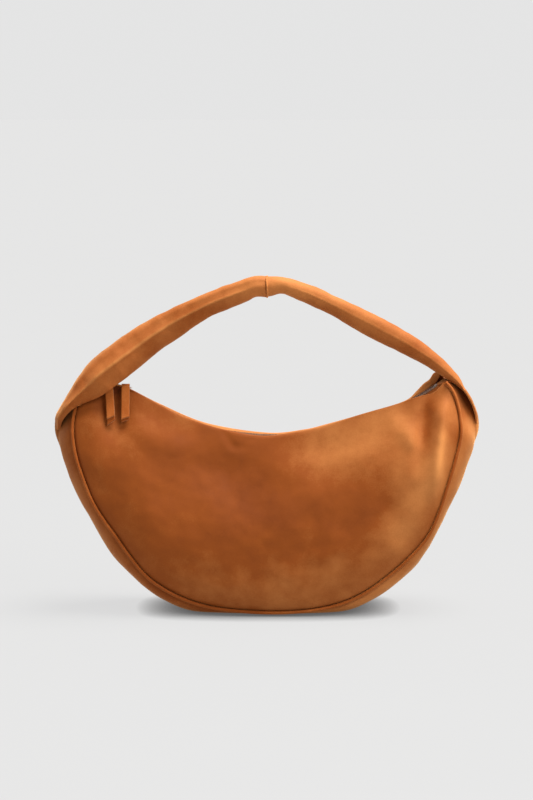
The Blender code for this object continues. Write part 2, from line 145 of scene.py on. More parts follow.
def smooth(t):
    """0 below 0, 1 above 1 and a soft step between them."""
    t = np.clip(t, 0.0, 1.0)
    return t * t * (3 - 2 * t)


def curve(points, count):
    """Points evenly spaced along a smooth curve through the given ones."""
    p = np.array(points, float)
    q = np.vstack((2 * p[0] - p[1], p, 2 * p[-1] - p[-2]))
    f = np.linspace(0, 1, SPLINE_STEPS, endpoint=False)[:, None]
    fine = [0.5 * (2 * b + (c - a) * f + (2 * a - 5 * b + 4 * c - d) * f ** 2
                   + (3 * b - a - 3 * c + d) * f ** 3)
            for a, b, c, d in zip(q, q[1:], q[2:], q[3:])]
    fine = np.vstack(fine + [p[-1:]])
    steps = np.linalg.norm(np.diff(fine, axis=0), axis=1)
    length = np.concatenate(([0.0], np.cumsum(steps)))
    at = np.linspace(0, length[-1], count)
    return np.stack([np.interp(at, length, fine[:, k]) for k in range(fine.shape[1])], axis=1)


def depth_at(z):
    """Distance of the front and back seams from the middle plane at a height."""
    return np.interp(z, DEPTH_HEIGHTS, DEPTHS)


def zip_heading(s):
    """Angle of the zip's line above level, at length s."""
    turned = min(max(ARC_FROM - s, 0.0), CROWN_LENGTH) / CROWN_R
    return max(s, ARC_FROM) / ARC_R + turned


def zip_point(s, height=0.0, y=0.0):
    """Point of the zip's line at length s, height measured upwards across it."""
    a = max(s, ARC_FROM) / ARC_R
    x, z = ARC_X + ARC_R * math.sin(a), ARC_Z - ARC_R * math.cos(a)
    heading = zip_heading(s)
    if s < ARC_FROM:
        x -= CROWN_R * (math.sin(heading) - math.sin(a))
        z += CROWN_R * (math.cos(heading) - math.cos(a))
        straight = max(ARC_FROM - CROWN_LENGTH - s, 0.0)
        x -= straight * math.cos(heading)
        z -= straight * math.sin(heading)
    return Vector((x - height * math.sin(heading), y, z + height * math.cos(heading)))


def open_share(x):
    """How much a place along the mouth follows the back wall when the bag opens."""
    return 1 - smooth((np.abs(x) - OPEN_WITHIN) / OPEN_FADE)


# Meshes ------------

def mesh_object(name, vertices, faces, mat, smooth_shade=True):
    """New object whose faces all look outwards."""
    mesh = bpy.data.meshes.new(name)
    mesh.from_pydata([tuple(v) for v in vertices], [], faces)
    mesh.materials.append(mat)
    bm = bmesh.new()
    bm.from_mesh(mesh)
    bmesh.ops.recalc_face_normals(bm, faces=bm.faces)
    bm.to_mesh(mesh)
    bm.free()
    if smooth_shade:
        mesh.shade_smooth()
    obj = bpy.data.objects.new(name, mesh)
    bpy.context.collection.objects.link(obj)
    return obj


def grid_normals(grid):
    """Unit normals of a grid of points."""
    along, across = np.gradient(grid, axis=0), np.gradient(grid, axis=1)
    normal = np.cross(along, across)
    size = np.linalg.norm(normal, axis=2, keepdims=True)
    return normal / np.maximum(size, 1e-9)


def leather_sheet(name, grid, mat, thickness, inwards=1):
    """Sheet of some thickness over a grid of points; inwards picks the side it grows to."""
    rows, cols = grid.shape[:2]
    inner = grid + grid_normals(grid) * thickness * inwards
    vertices = np.vstack((grid.reshape(-1, 3), inner.reshape(-1, 3)))
    second = rows * cols
    faces = []
    for i in range(rows - 1):
        for j in range(cols - 1):
            a = i * cols + j
            quad = (a, a + 1, a + cols + 1, a + cols)
            faces.append(quad)
            faces.append(tuple(second + k for k in reversed(quad)))
    border = (list(range(cols)) + [i * cols + cols - 1 for i in range(1, rows)]
              + [(rows - 1) * cols + j for j in range(cols - 2, -1, -1)]
              + [i * cols for i in range(rows - 2, 0, -1)])
    for a, b in zip(border, border[1:] + border[:1]):
        faces.append((a, b, second + b, second + a))
    return mesh_object(name, vertices, faces, mat)


def tube(name, points, radius, sides, mat):
    """Round tube with flat ends along points; radius is a number or one for each point."""
    points = np.array(points, float)
    radii = np.broadcast_to(radius, len(points))
    tangents = np.gradient(points, axis=0)
    tangents /= np.linalg.norm(tangents, axis=1, keepdims=True)
    normal = np.cross(tangents[0], (0.0, 1.0, 0.0))
    if np.linalg.norm(normal) < 0.1:
        normal = np.cross(tangents[0], (1.0, 0.0, 0.0))
    angles = np.linspace(0, 2 * math.pi, sides, endpoint=False)
    vertices = []
    for p, t, r in zip(points, tangents, radii):
        normal = normal - t * np.dot(normal, t)
        normal /= np.linalg.norm(normal)
        other = np.cross(t, normal)
        vertices += [p + r * (math.cos(a) * normal + math.sin(a) * other) for a in angles]
    faces = []
    for i in range(len(points) - 1):
        for j in range(sides):
            k = (j + 1) % sides
            faces.append((i * sides + j, i * sides + k, (i + 1) * sides + k, (i + 1) * sides + j))
    faces.append(tuple(range(sides)))
    last = (len(points) - 1) * sides
    faces.append(tuple(last + j for j in reversed(range(sides))))
    return mesh_object(name, vertices, faces, mat)


def store_tone_and_painted_light(obj, values):
    """Lighter or darker tone for the leather's colour, with painted highlights and painted shade: one
    value, or one for each point.
    """
    attribute = obj.data.attributes.new("tone_and_painted_light", "FLOAT", "POINT")
    values = np.broadcast_to(values, len(obj.data.vertices)).astype(np.float32)
    attribute.data.foreach_set("value", values)


def vertex_array(obj):
    """Places of an object's vertices, one row for each."""
    places = np.empty(len(obj.data.vertices) * 3)
    obj.data.vertices.foreach_get("co", places)
    return places.reshape(-1, 3)


def both_sides(values):
    """Values of a grid's points, for the two sides of the sheet made over it."""
    return np.tile(values.ravel(), 2)


def follow_back_wall(obj, share):
    """Bakes a piece's placement into its mesh; the shares are not used."""
    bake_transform(obj)


def wrinkle(point, scale, seed):
    """Soft noise between about -1 and 1 at a place."""
    return noise.noise(Vector(point) * scale + Vector((seed, 0, 0)))


def wrinkles(grid, amounts, seed):
    """Sum of soft noises over a grid of points; amounts pairs a scale with a height."""
    flat = grid.reshape(-1, 3)
    total = [sum(height * wrinkle(p, scale, seed) for scale, height in amounts) for p in flat]
    return np.array(total).reshape(grid.shape[:2])


def ridge(x, z, start, end, width, height):
    """Soft ridge (or valley, where height is negative) that dies out at both its ends."""
    (ax, az), (bx, bz) = start, end
    length = math.hypot(bx - ax, bz - az)
    dx, dz = (bx - ax) / length, (bz - az) / length
    along = np.abs((x - ax) * dx + (z - az) * dz - length / 2)
    across = (x - ax) * dz - (z - az) * dx
    full, soft = 0.25 * length, 0.22 * length + width
    past = np.maximum(along - full, 0.0) / soft
    return height * np.exp(-(across / width) ** 2 - past ** 2)


# Materials ------------

class Nodes:
    """Short names for making shader nodes."""

    def __init__(self, name):
        self.material = bpy.data.materials.new(name)
        self.material.use_nodes = True
        self.tree = self.material.node_tree
        self.shader = self.tree.nodes["Principled BSDF"]

    def add(self, kind, **settings):
        node = self.tree.nodes.new(kind)
        for key, value in settings.items():
            setattr(node, key, value)
        return node

    def link(self, output, node_input):
        self.tree.links.new(output, node_input)

    def feed(self, output, name):
        """Links an output to the shader's input of that name."""
        self.link(output, self.shader.inputs[name])

    def coords(self):
        """Coordinates in metres that stay with the object."""
        return self.add("ShaderNodeTexCoord").outputs["Object"]

    def noise(self, scale, detail=2.0, roughness=0.5, coords=None):
        """Noise in the given coordinates, or the object's own."""
        node = self.add("ShaderNodeTexNoise")
        node.inputs["Scale"].default_value = scale
        node.inputs["Detail"].default_value = detail
        node.inputs["Roughness"].default_value = roughness
        self.link(coords or self.coords(), node.inputs["Vector"])
        return node.outputs["Fac"]

    def math(self, operation, a, b):
        """Sum or product of two numbers or outputs."""
        node = self.add("ShaderNodeMath", operation=operation)
        for value, socket in ((a, node.inputs[0]), (b, node.inputs[1])):
            if isinstance(value, (int, float)):
                socket.default_value = value
            else:
                self.link(value, socket)
        return node.outputs[0]

    def ramp(self, fac, stops):
        """Colour by value, through (position, colour) stops."""
        node = self.add("ShaderNodeValToRGB")
        elements = node.color_ramp.elements
        while len(elements) < len(stops):
            elements.new(0.5)
        for element, (position, colour) in zip(elements, stops):
            element.position = position
            element.color = (*colour, 1.0)
        self.link(fac, node.inputs["Fac"])
        return node.outputs["Color"]

    def bump(self, height, strength, distance, below=None):
        """Normal of a relief, laid over the one below it."""
        node = self.add("ShaderNodeBump")
        node.inputs["Strength"].default_value = strength
        node.inputs["Distance"].default_value = distance
        self.link(height, node.inputs["Height"])
        if below:
            self.link(below, node.inputs["Normal"])
        return node.outputs["Normal"]

    def set(self, **values):
        for key, value in values.items():
            self.shader.inputs[key.replace("_", " ")].default_value = value


def nubuck(name, shade=1.0):
    """Brushed nubuck: blotchy nap, a fine grain and a velvety sheen."""
    n = Nodes(name)
    coords = n.coords()
    clouds = n.noise(11.0, 4.0, 0.62, coords)
    blotches = n.noise(46.0, 4.0, 0.6, coords)
    grain = n.noise(900.0, 3.0, 0.65, coords)
    # the mesh's stored tone, which carries painted highlights and painted shade, is added to the noise
    # tone
    tone_and_painted_light = n.add("ShaderNodeAttribute", attribute_name="tone_and_painted_light").outputs["Fac"]
    tone = n.math("MULTIPLY", clouds, 0.34)
    tone = n.math("ADD", tone, n.math("MULTIPLY", blotches, 0.20))
    tone = n.math("ADD", tone, n.math("MULTIPLY", grain, 0.16))
    tone = n.math("ADD", tone, tone_and_painted_light)
    dark, middle, light = (0.150, 0.029, 0.0035), (0.300, 0.069, 0.0085), (0.74, 0.285, 0.080)
    stops = ((0.05, dark), (0.38, middle), (0.82, light))
    colour = n.ramp(tone, [(at, tuple(c * shade for c in rgb)) for at, rgb in stops])
    n.feed(colour, "Base Color")
    soft = n.bump(blotches, 0.25, 0.0012)
    n.feed(n.bump(grain, 0.35, 0.0004, soft), "Normal")
    n.feed(n.math("ADD", n.math("MULTIPLY", blotches, 0.15), 0.60), "Roughness")
    n.set(Sheen_Weight=0.55, Sheen_Roughness=0.38, Sheen_Tint=(1.0, 0.52, 0.18, 1.0),
          Specular_IOR_Level=0.14)
    return n.material


def cut_edge(name):
    """Raw cut edge of the leather: paler and fibrous."""
    n = Nodes(name)
    fibres = n.noise(1400.0, 3.0, 0.7)
    colour = n.ramp(fibres, ((0.25, (0.42, 0.17, 0.065)), (0.75, (0.66, 0.34, 0.16))))
    n.feed(colour, "Base Color")
    n.feed(n.bump(fibres, 0.4, 0.0003), "Normal")
    n.set(Roughness=0.85)
    return n.material


def woven(name, dark, light, threads):
    """Plain weave of threads per metre, seen in colour and relief."""
    n = Nodes(name)
    coords = n.coords()
    waves = []
    for direction in ("X", "Z"):
        wave = n.add("ShaderNodeTexWave", wave_type="BANDS", bands_direction=direction)
        wave.inputs["Scale"].default_value = threads / 20
        wave.inputs["Distortion"].default_value = 0.6
        n.link(coords, wave.inputs["Vector"])
        waves.append(wave.outputs["Fac"])
    weave = n.math("MULTIPLY", n.math("ADD", *waves), 0.5)
    fuzz = n.noise(700.0, 2.0, 0.6, coords)
    tone = n.math("ADD", n.math("MULTIPLY", weave, 0.6), n.math("MULTIPLY", fuzz, 0.4))
    n.feed(n.ramp(tone, ((0.2, dark), (0.8, light))), "Base Color")
    n.feed(n.bump(weave, 0.5, 0.0003), "Normal")
    n.set(Roughness=0.85, Sheen_Weight=0.15)
    return n.material


def nickel(name, shade=1.0):
    """Satin nickel with faint scratches."""
    n = Nodes(name)
    scratches = n.noise(600.0, 4.0, 0.7)
    dull, bright = (0.66, 0.65, 0.62), (0.84, 0.83, 0.80)
    stops = [(at, tuple(c * shade for c in rgb)) for at, rgb in ((0.3, dull), (0.7, bright))]
    n.feed(n.ramp(scratches, stops), "Base Color")
    n.feed(n.math("ADD", n.math("MULTIPLY", scratches, 0.18), 0.20), "Roughness")
    n.feed(n.bump(scratches, 0.12, 0.0002), "Normal")
    n.set(Metallic=1.0)
    return n.material


def filler_cloth(name):
    """Fluffy cream wadding."""
    n = Nodes(name)
    fluff = n.noise(260.0, 5.0, 0.7)
    n.feed(n.ramp(fluff, ((0.3, (0.55, 0.50, 0.42)), (0.7, (0.80, 0.76, 0.68)))), "Base Color")
    n.feed(n.bump(fluff, 0.6, 0.001), "Normal")
    n.set(Roughness=0.95, Sheen_Weight=0.3)
    return n.material


LEATHER_SKIN = nubuck("nubuck_skin")
# The piping and the pulls use lighter copies of the skin's nubuck: a painted highlight on the raised
# piping and on the hanging pulls.
LEATHER_PIPING = nubuck("nubuck_piping", 1.12)
LEATHER_PULL = nubuck("nubuck_pull", 1.22)
CUT_EDGE = cut_edge("nubuck_cut_edge")
LINING = woven("lining_weave", (0.16, 0.105, 0.07), (0.30, 0.21, 0.145), 1500)
TAPE = woven("zip_tape_weave", (0.10, 0.045, 0.02), (0.22, 0.105, 0.05), 2200)
THREAD = woven("thread_twist", (0.26, 0.09, 0.03), (0.48, 0.19, 0.07), 3000)
METAL = nickel("satin_nickel")
# The teeth use a darker copy of the nickel: painted shade, for the shade they sit in below the front
# edge.
TEETH_METAL = nickel("shaded_nickel", 0.42)
FILLER = filler_cloth("filler_cloth")


# Panels ------------

PANEL_COLS, PANEL_ROWS = 190, 72
ROW_CROWDING = 0.92         # rows lie closer together towards the top edge
SWELL = 0.024
SWELL_BREADTH, SWELL_LOWERING, SWELL_TOP_LOSS = 2.2, 0.86, 0.3
MOUTH_DEPTH = 0.0150        # outer side of the panel's top edge
GROOVE_DEPTH, GROOVE_WIDTH = 0.0030, 0.0035
# Wrinkles: noise scale and height
PANEL_WRINKLES = ((14.0, 0.0030), (34.0, 0.0012), (95.0, 0.00035))
# Folds and wrinkles fade out at the seam and down to a share of their height at the top
SEAM_FADE, TOP_FADE, TOP_RELIEF = 0.02, 0.03, 0.35
LINING_INSET = 0.0046
LINING_PART = np.s_[6:-6, 4:-3]     # the lining stops short of corners, seam and top edge
# Roll over the top edge: distance from the middle plane, and drop below the top edge
ROLL = ((0.0141, -0.0008), (0.0126, -0.0014), (0.0110, -0.0006), (0.0101, 0.0012))
# Facing from the roll down to the zip tape
FACING_STEPS = (0.35, 0.7, 1.0)
FACING_PAST_TEETH, FACING_LIFT = 0.0035, 0.0010
TAPE_MEETS = 0.0093
FACING_PAINTED_LIGHT = 0.35           # painted light on the back wall's facing, standing in for bounce light
BACK_PAINTED_LIGHT_SHARE = 0.7              # the back gets the front's painted highlights and shade, mirrored and weaker

# Ridges and valleys of the front panel: start, end, width, height
FRONT_FOLDS = (
    ((0.1980, 0.2420), (0.1890, 0.1450), 0.0085, 0.0070),
    ((0.1800, 0.2440), (0.1700, 0.1820), 0.0085, -0.0060),
    ((0.1380, 0.2280), (0.1700, 0.1900), 0.0110, 0.0036),
    ((0.1500, 0.2160), (0.1620, 0.2380), 0.0070, -0.0020),
    ((-0.0500, 0.2080), (-0.0380, 0.1900), 0.0042, -0.0022),
    ((-0.0380, 0.1895), (-0.0250, 0.1880), 0.0040, -0.0016),
    ((-0.0210, 0.1950), (-0.0050, 0.2005), 0.0024, -0.0012),
    ((-0.0700, 0.1700), (-0.0250, 0.1480), 0.0300, -0.0050),
    ((-0.1500, 0.2100), (-0.0900, 0.1880), 0.0180, 0.0030),
    ((-0.1720, 0.2560), (-0.1690, 0.2150), 0.0200, -0.0090),
    ((0.0300, 0.1400), (0.0900, 0.1700), 0.0300, 0.0026),
    ((-0.1100, 0.0500), (-0.0300, 0.0300), 0.0160, 0.0022),
)
BACK_FOLDS = (
    ((0.1700, 0.2150), (0.1880, 0.1500), 0.0120, 0.0035),
    ((-0.1850, 0.2200), (-0.1800, 0.1500), 0.0120, 0.0035),
    ((-0.1600, 0.2250), (-0.1300, 0.1750), 0.0110, -0.0030),
    ((0.0100, 0.1850), (0.0500, 0.1500), 0.0180, -0.0035),
    ((0.0700, 0.1900), (0.1300, 0.1650), 0.0160, 0.0025),
)
# Facing, top edge, folds and wrinkle seed of each panel
PANELS = {"front": (-1, CREST_FRONT, FRONT_FOLDS, 3.0), "back": (1, CREST_BACK, BACK_FOLDS, 11.0)}


def panel_grid(facing, crest, folds, seed, inset=0.0, roll=True):
    """Grid of a panel's outer face and how much each point follows the opening mouth.

    facing is -1 at the front. inset moves the surface in for the lining.
    """
    seam = curve(SEAM_LEFT + SEAM_RIGHT, PANEL_COLS)
    top = curve(crest, PANEL_COLS)
    v = np.linspace(0, 1, PANEL_ROWS)[None, :] ** ROW_CROWDING
    u = np.linspace(-1, 1, PANEL_COLS)[:, None]
    x = seam[:, :1] + (top[:, :1] - seam[:, :1]) * v
    z = seam[:, 1:] + (top[:, 1:] - seam[:, 1:]) * v
    reach = np.hypot(top[:, 0] - seam[:, 0], top[:, 1] - seam[:, 1])[:, None]
    depth = depth_at(seam[:, 1])[:, None]
    y = depth + (MOUTH_DEPTH - depth) * v
    swell = SWELL * (1 - np.abs(u) ** SWELL_BREADTH) * np.sin(math.pi * v ** SWELL_LOWERING)
    y = y + swell * (1 - SWELL_TOP_LOSS * v)
    y = y - GROOVE_DEPTH * np.exp(-(v * reach / GROOVE_WIDTH) ** 2)
    grid = np.stack((x, facing * y, z), axis=2)
    from_top = smooth((1 - v) * reach / TOP_FADE)
    fade = smooth(v * reach / SEAM_FADE) * (TOP_RELIEF + (1 - TOP_RELIEF) * from_top)
    relief = wrinkles(grid, PANEL_WRINKLES, seed)
    for start, end, width, height in folds:
        relief = relief + ridge(x, z, start, end, width, height)
    y = y + relief * fade - inset
    grid = np.stack((x, facing * y, z), axis=2)
    share = open_share(top[:, :1]) * smooth(v * 1.05)
    if roll:
        grid, share = add_roll(grid, share, top, facing)
    return grid, share


def add_roll(grid, share, top, facing):
    """Adds the rows that roll over the top edge and run down to the zip tape."""
    places = np.linspace(TEETH_FROM - FACING_PAST_TEETH, TEETH_TO + FACING_PAST_TEETH, len(top))
    zips = np.array([zip_point(s, FACING_LIFT) for s in places])
    rows = [grid]
    outer = grid[:, -1]
    for depth, drop in ROLL:
        row = outer.copy()
        row[:, 1] = facing * depth
        row[:, 2] -= drop
        rows.append(row[:, None])
    last = rows[-1][:, 0]
    for f in FACING_STEPS:
        row = last + (zips - last) * f
        row[:, 1] = facing * (abs(last[:, 1]) + (TAPE_MEETS - abs(last[:, 1])) * f)
        rows.append(row[:, None])
    grid = np.concatenate(rows, axis=1)
    edge = np.repeat(share[:, -1:], grid.shape[1] - share.shape[1], axis=1)
    return grid, np.concatenate((share, edge), axis=1)


# Painted highlights and painted shade on the front panel, in streaks: start, end, width, change
PAINTED_FRONT_LIGHT = (
    ((0.0600, 0.1850), (0.1500, 0.2100), 0.0420, 0.20),
    ((0.1970, 0.2120), (0.1900, 0.1620), 0.0050, 0.22),
    ((0.1840, 0.2400), (0.1790, 0.1900), 0.0075, -0.16),
    ((0.1950, 0.2500), (0.1880, 0.1350), 0.0200, 0.10),
    ((0.1900, 0.1650), (0.1400, 0.0850), 0.0230, 0.22),
    ((0.1380, 0.2280), (0.1640, 0.1920), 0.0100, 0.06),
    ((-0.1900, 0.2520), (-0.1680, 0.2520), 0.0070, -0.45),
    ((-0.0600, 0.1650), (-0.0200, 0.1300), 0.0450, -0.10),
    ((-0.1500, 0.2250), (-0.0900, 0.2100), 0.0250, 0.07),
    ((0.0200, 0.1500), (0.0400, 0.1400), 0.0500, -0.03),
    ((-0.1400, 0.0300), (0.1700, 0.0300), 0.0450, 0.10),
)


def painted_front_light(x, z):
    """Painted highlights and painted shade of the front panel at its points."""
    return sum(ridge(x, z, *streak) for streak in PAINTED_FRONT_LIGHT)


def add_panels():
    """Front and back panel."""
    grid, _ = panel_grid(*PANELS["front"])
    front = leather_sheet("panel_front_skin", grid, LEATHER_SKIN, LEATHER, -1)
    x, _, z = vertex_array(front).T
    store_tone_and_painted_light(front, painted_front_light(x, z))
    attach(front, "bag")
    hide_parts("front_panel")

    grid, share = panel_grid(*PANELS["back"])
    back = leather_sheet("panel_back_skin", grid, LEATHER_SKIN, LEATHER, 1)
    tone_and_painted_light = BACK_PAINTED_LIGHT_SHARE * painted_front_light(-grid[:, :, 0], grid[:, :, 2])
    tone_and_painted_light[:, PANEL_ROWS:] = FACING_PAINTED_LIGHT
    store_tone_and_painted_light(back, both_sides(tone_and_painted_light))
    follow_back_wall(back, both_sides(share))
    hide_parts("back_panel")


def add_panel_linings():
    """Cloth that follows the inside of each panel."""
    for name, panel in PANELS.items():
        facing = panel[0]
        grid, share = panel_grid(*panel, LINING_INSET, roll=False)
        grid, share = grid[LINING_PART], share[LINING_PART]
        piece = leather_sheet("lining_" + name + "_cloth", grid, LINING, LINING_CLOTH, -facing)
        if facing > 0:
            follow_back_wall(piece, both_sides(share))
        else:
            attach(piece, "bag")
        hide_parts("lining_" + name)


# Gusset and piping ------------

GUSSET_ROWS, GUSSET_COLS = 110, 41
GUSSET_TUCK = 0.0012        # the gusset's edges lie this far inside the seam line
# Heights between which the section hollows out, how much it does and how sharply it dishes
HOLLOW_FROM, HOLLOW_TO = 0.190, 0.236
HOLLOW_SHARE, DISH_POWER = 0.85, 0.35
# The section is boxy at the floor and gets round above it
FLOOR_POWER, ROUND_FROM, ROUND_OVER = 0.55, 0.02, 0.12
SHORTEST_REACH = 0.006
GUSSET_WRINKLES = ((20.0, 0.0022), (60.0, 0.0008))
RELIEF_FROM, RELIEF_OVER = 0.012, 0.04
# Tone by side, the right one painted lighter where light falls on it, and the painted shade where the
# leather turns under the strap
GUSSET_TONE_AND_PAINTED_LIGHT = {-1: 0.06, 1: 0.20}
SHADE, SHADE_FROM, SHADE_OVER = 0.45, 0.205, 0.04
LINING_GAP = 0.0034
LINING_ENDS_SHORT = 8       # rows of the gusset that the lining leaves out at each corner

PIPING_STEPS, PIPING_SIDES = 300, 12
PIPING_R, PIPING_OUT = 0.0018, 0.0010
PIPING_WOBBLE, WOBBLE_SCALE, WOBBLE_SEED = 0.07, 120.0, 2.0
PIPING_NAP = 0.02


def seam_side(side):
    """Seam from the middle of the floor up to one corner."""
    return SEAM_RIGHT if side > 0 else SEAM_RIGHT[:1] + SEAM_LEFT[::-1]


def gusset_grid(side, inset=0.0):
    """Gusset from the floor's middle to a corner: a U that hollows out under the strap."""
    seam = curve(seam_side(side), GUSSET_ROWS)
    outline = curve(OUTLINE_RIGHT if side > 0 else OUTLINE_LEFT, GUSSET_ROWS)
    angle = np.linspace(-math.pi / 2, math.pi / 2, GUSSET_COLS)
    rows = []
    for (sx, sz), (ox, oz) in zip(seam, outline):
        depth = depth_at(sz) - GUSSET_TUCK - inset * 0.4
        hollow = HOLLOW_SHARE * smooth((sz - HOLLOW_FROM) / (HOLLOW_TO - HOLLOW_FROM))
        power = FLOOR_POWER + (1 - FLOOR_POWER) * smooth((sz - ROUND_FROM) / ROUND_OVER)
        out = np.abs(np.cos(angle)) ** power
        dished = 1 - np.abs(np.sin(angle)) ** DISH_POWER
        reach = out + (dished - out) * hollow
        across = np.sin(angle)
        away = np.array((ox - sx, oz - sz))
        reach = reach - inset / max(np.hypot(*away), SHORTEST_REACH)
        row = np.stack((sx + away[0] * reach, depth * across, sz + away[1] * reach), axis=1)
        rows.append(row)
    grid = np.array(rows)
    relief = wrinkles(grid, GUSSET_WRINKLES, 5.0 * side)
    share = smooth((grid[:, :, 2] - RELIEF_FROM) / RELIEF_OVER) * np.cos(angle)[None, :]
    grid[:, :, 0] += side * relief * share
    grid[:, :, 2] = np.maximum(grid[:, :, 2], inset)
    return grid


def add_gusset():
    """Two gusset halves and the one lining inside them."""
    for name, side in SIDES.items():
        grid = gusset_grid(side)
        skin = leather_sheet("gusset_" + name + "_skin", grid, LEATHER_SKIN, LEATHER, side)
        z = vertex_array(skin)[:, 2]
        store_tone_and_painted_light(skin, GUSSET_TONE_AND_PAINTED_LIGHT[side] - SHADE * smooth((z - SHADE_FROM) / SHADE_OVER))
        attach(skin, "bag")
        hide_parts("gusset_" + name)
    left, right = [gusset_grid(side, LINING_GAP)[:-LINING_ENDS_SHORT] for side in (-1, 1)]
    grid = np.concatenate((left[:0:-1], right), axis=0)
    cloth = leather_sheet("lining_gusset_cloth", grid, LINING, LINING_CLOTH, 1)
    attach(cloth, "bag")
    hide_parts("lining_gusset")


def add_piping():
    """Leather piping along both seams."""
    route = curve(SEAM_LEFT + SEAM_RIGHT, PIPING_STEPS)
    for name, facing in FACINGS.items():
        points = [(x, facing * (depth_at(z) + PIPING_OUT), max(z, PIPING_R)) for x, z in route]
        wobble = [wrinkle(p, WOBBLE_SCALE, WOBBLE_SEED) for p in points]
        radii = PIPING_R * (1 + PIPING_WOBBLE * np.array(wobble))
        piece = tube("piping_" + name + "_skin", points, radii, PIPING_SIDES, LEATHER_PIPING)
        store_tone_and_painted_light(piece, PIPING_NAP)
        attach(piece, "bag")
        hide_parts("piping_" + name)


# Strap ------------

STRAP_ROWS, STRAP_HALF = 170, 25
STRAP_WAYS = np.linspace(0, 1, STRAP_ROWS)
# Points across half a section, and their share of the way from outer to inner edge
ACROSS = np.linspace(0, 1, STRAP_HALF)
DOWN = 0.5 - 0.5 * np.cos(math.pi * ACROSS)
CLOSED_PROFILE = np.abs(np.sin(math.pi * ACROSS)) ** 0.8
OPEN_PROFILE = np.sin(math.pi / 2 * np.minimum(ACROSS * 1.9, 1)) ** 0.85 * (1 - 0.03 * ACROSS)
# Half depth of the strap and how far its section is open, by share of the way up
STRAP_KNOTS = (0.0, 0.05, 0.11, 0.20, 0.28, 0.36, 0.46, 0.60, 1.0)
STRAP_DEPTHS = {-1: (0.0060, 0.0240, 0.0300, 0.0310, 0.0310, 0.0290, 0.0205, 0.0135, 0.0115),
                1: (0.0020, 0.0070, 0.0115, 0.0140, 0.0140, 0.0135, 0.0130, 0.0125, 0.0115)}
STRAP_OPENNESS = {-1: (1.0, 1.0, 1.0, 1.0, 1.0, 0.75, 0.2, 0.0, 0.0),
                  1: (1.0, 1.0, 0.8, 0.4, 0.1, 0.0, 0.0, 0.0, 0.0)}
TIP_TUCK, TUCK_OVER = 0.0014, 0.05          # the fold's tip dips into the gusset
CREASE_AT, CREASE_WIDTH = 0.44, 0.020       # between outer and inner edge
CREASE_HEIGHT = {-1: 0.0019, 1: 0.0006}
CREASE_GROWS, CREASE_FADES, CREASE_FADE_OVER = 0.1, 0.8, 0.2
# Painted highlight along the crease: amount by side, and width
CREASE_HIGHLIGHT, CREASE_HIGHLIGHT_WIDTH = {-1: 0.22, 1: 0.05}, 0.035
# The left half is a little flat above its crease
FLAT_SHARE, FLAT_AT, FLAT_WIDTH = {-1: 0.10, 1: 0.0}, 0.22, 0.12
STRAP_LUMPS, STRAP_WRINKLES = {-1: 0.0016, 1: 0.0007}, ((55.0, 0.0008), (140.0, 0.0003))
WRINKLES_GROW = 0.12
# Tone of each strap half, the right one painted lighter where light falls on it, and painted light on the
# strap's top: amount, from height, over
STRAP_TONE_AND_PAINTED_LIGHT = {-1: 0.07, 1: 0.12}
TOP_PAINTED_LIGHT, TOP_PAINTED_LIGHT_FROM, TOP_PAINTED_LIGHT_OVER = 0.12, 0.335, 0.03
# Seam round the strap's middle: a loop that weaves a little from side to side
RING_Z, RING_HALF_HEIGHT, RING_HALF_DEPTH = 0.3669, 0.0117, 0.0119
RING_X, RING_WEAVE, RING_R = 0.0006, 0.0004, 0.0010
RING_STEPS, RING_SIDES = 63, 8
# Painted highlight on the raised seam
RING_HIGHLIGHT = 0.25


def strap_grid(side):
    """Closed section, open towards the fold, swept from the bag's corner to the middle."""
    outer = curve(STRAP_OUTER_RIGHT if side > 0 else STRAP_OUTER_LEFT, STRAP_ROWS)
    inner = curve(STRAP_INNER_RIGHT if side > 0 else STRAP_INNER_LEFT, STRAP_ROWS)
    half_depths = np.interp(STRAP_WAYS, STRAP_KNOTS, STRAP_DEPTHS[side])
    opened = np.interp(STRAP_WAYS, STRAP_KNOTS, STRAP_OPENNESS[side])
    flat = 1 - FLAT_SHARE[side] * np.exp(-((DOWN - FLAT_AT) / FLAT_WIDTH) ** 2)
    crease = CREASE_HEIGHT[side] * np.exp(-((DOWN - CREASE_AT) / CREASE_WIDTH) ** 2)
    rows = []
    for k, way in enumerate(STRAP_WAYS):
        profile = CLOSED_PROFILE + (OPEN_PROFILE - CLOSED_PROFILE) * opened[k]
        crease_strength = smooth(way / CREASE_GROWS) * (1 - smooth((way - CREASE_FADES) / CREASE_FADE_OVER))
        across = half_depths[k] * profile * flat + crease * crease_strength
        tucked = TIP_TUCK * (1 - smooth(way / TUCK_OVER))
        middle = outer[k] + (inner[k] - outer[k]) * DOWN[:, None]
        middle = middle - np.array((side * tucked, 0))
        front = np.stack((middle[:, 0], -across, middle[:, 1]), axis=1)
        back = np.stack((middle[:, 0], across, middle[:, 1]), axis=1)
        rows.append(np.concatenate((front[::-1], back[1:])))
    grid = np.array(rows)
    relief = wrinkles(grid, ((22.0, STRAP_LUMPS[side]), *STRAP_WRINKLES), 7.0 + side)
    rise = smooth(STRAP_WAYS / WRINKLES_GROW)
    return grid + relief[:, :, None] * grid_normals(grid) * rise[:, None, None]


def crease_highlight(side):
    """Painted highlight along the crease, for each point of a strap half's grid."""
    columns = np.concatenate((DOWN[::-1], DOWN[1:]))
    fade = 1 - smooth((STRAP_WAYS - 0.75) / 0.25)
    crease_strength = CREASE_HIGHLIGHT[side] * np.exp(-((columns - CREASE_AT) / CREASE_HIGHLIGHT_WIDTH) ** 2)
    return fade[:, None] * crease_strength[None, :]


